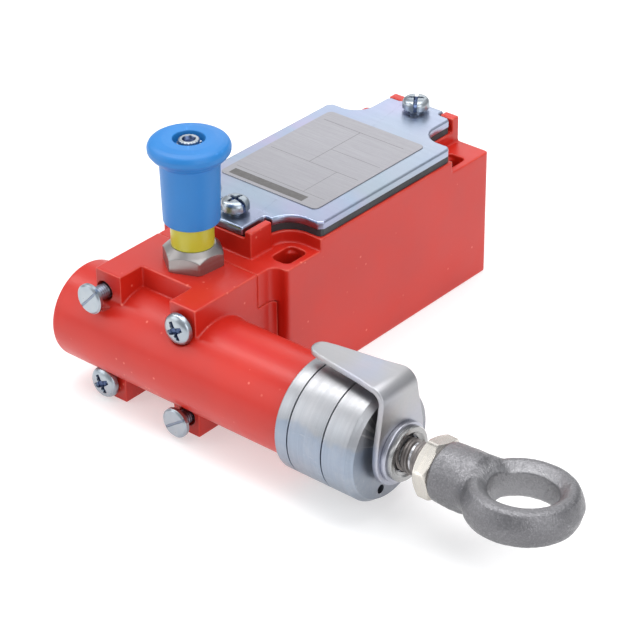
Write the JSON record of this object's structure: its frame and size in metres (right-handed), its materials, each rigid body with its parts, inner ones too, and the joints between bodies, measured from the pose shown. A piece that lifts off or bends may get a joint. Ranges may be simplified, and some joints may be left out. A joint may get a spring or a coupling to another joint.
{
  "type": "rope pull switch",
  "caption": "Rope-pull safety switch with a slotted cast enclosure, pull head, push-to-reset knob, tension indicator and eye nut, internal contacts included.",
  "frame": {"origin": "centre of the four fixing slots, on the rear face", "axes": "+X along the pull shaft towards the eye, +Y along the enclosure away from the head, +Z out of the rear face towards the cover and the reset knob"},
  "size_m": [0.1408, 0.1104, 0.0659],
  "materials": {
    "red_enamel": "gloss enamel on a die casting",
    "black_rubber": "matt",
    "zinc_plate": "blue zinc plated sheet, satin",
    "zinc_screw": "bright zinc plated",
    "label_foil": "satin foil, bare",
    "turned_zinc": "turned and zinc plated, satin",
    "bronze": "sintered bronze, matt",
    "stainless": "machined, satin",
    "yellow_plastic": "satin",
    "blue_plastic": "satin with worn edges",
    "black_plastic": "moulded, matt",
    "contact_brass": "brass with silvered faces",
    "spring_steel": "drawn wire",
    "galvanised": "rough galvanised casting",
    "white_plastic": "moulded, matt",
    "ground_steel": "ground"
  },
  "bodies": {
    "base": {"enclosure": "red_enamel", "cover_gasket": "black_rubber", "cover_plate": "zinc_plate", "cover_screws": "zinc_screw", "rating_label": "label_foil", "head_housing": "red_enamel", "head_gasket": "black_rubber", "head_screws_seated": "zinc_screw", "head_screws_proud": "zinc_screw", "end_sleeve": "turned_zinc", "guide_bush": "bronze", "wiper_seal": "black_rubber", "plunger_bush": "bronze", "hex_bush": "stainless", "yellow_sleeve": "yellow_plastic", "contact_block": "black_plastic", "block_screws": "zinc_screw", "fixed_contacts": "contact_brass", "terminal_clamps": "zinc_screw", "terminal_screws": "zinc_screw", "earth_screw": "zinc_screw", "main_spring": "spring_steel", "reset_spring": "spring_steel", "latch_spring": "spring_steel", "contact_spring": "spring_steel"},
    "pull": {"pull_shaft": "stainless", "spring_seat": "ground_steel", "indicator_bracket": "zinc_plate", "flat_washer": "zinc_screw", "retaining_ring": "stainless", "lock_nut": "stainless", "eye_nut": "galvanised"},
    "reset": {"reset_stem": "stainless", "latch_wedge": "ground_steel", "reset_knob": "blue_plastic", "knob_washer": "zinc_screw", "knob_screw": "zinc_screw"},
    "latch": {"latch_slider": "ground_steel"},
    "plunger": {"contact_plunger": "stainless", "contact_carrier": "white_plastic", "contact_bridges": "contact_brass"}
  },
  "joints": [
    {"name": "pull_slide", "type": "slide", "parent": "base", "child": "pull", "axis": [1, 0, 0], "range_m": [0, 0.016], "stiffness_N_per_m": 4000, "springref_m": -0.004, "deforming": ["main_spring"]},
    {"name": "reset_push", "type": "slide", "parent": "base", "child": "reset", "axis": [0, 0, -1], "range_m": [0, 0.0055], "stiffness_N_per_m": 800, "springref_m": -0.003, "deforming": ["reset_spring"]},
    {"name": "latch_slide", "type": "slide", "parent": "base", "child": "latch", "axis": [0, 1, 0], "range_m": [0, 0.0022], "deforming": ["latch_spring"]},
    {"name": "plunger_slide", "type": "slide", "parent": "base", "child": "plunger", "axis": [0, 1, 0], "range_m": [0, 0.0024], "deforming": ["contact_spring"]}
  ],
  "couplings": [
    {"joint": "latch_slide", "follows": "reset_push", "ratio": 0.4},
    {"joint": "plunger_slide", "follows": "pull_slide", "ratio": 0.15}
  ]
}
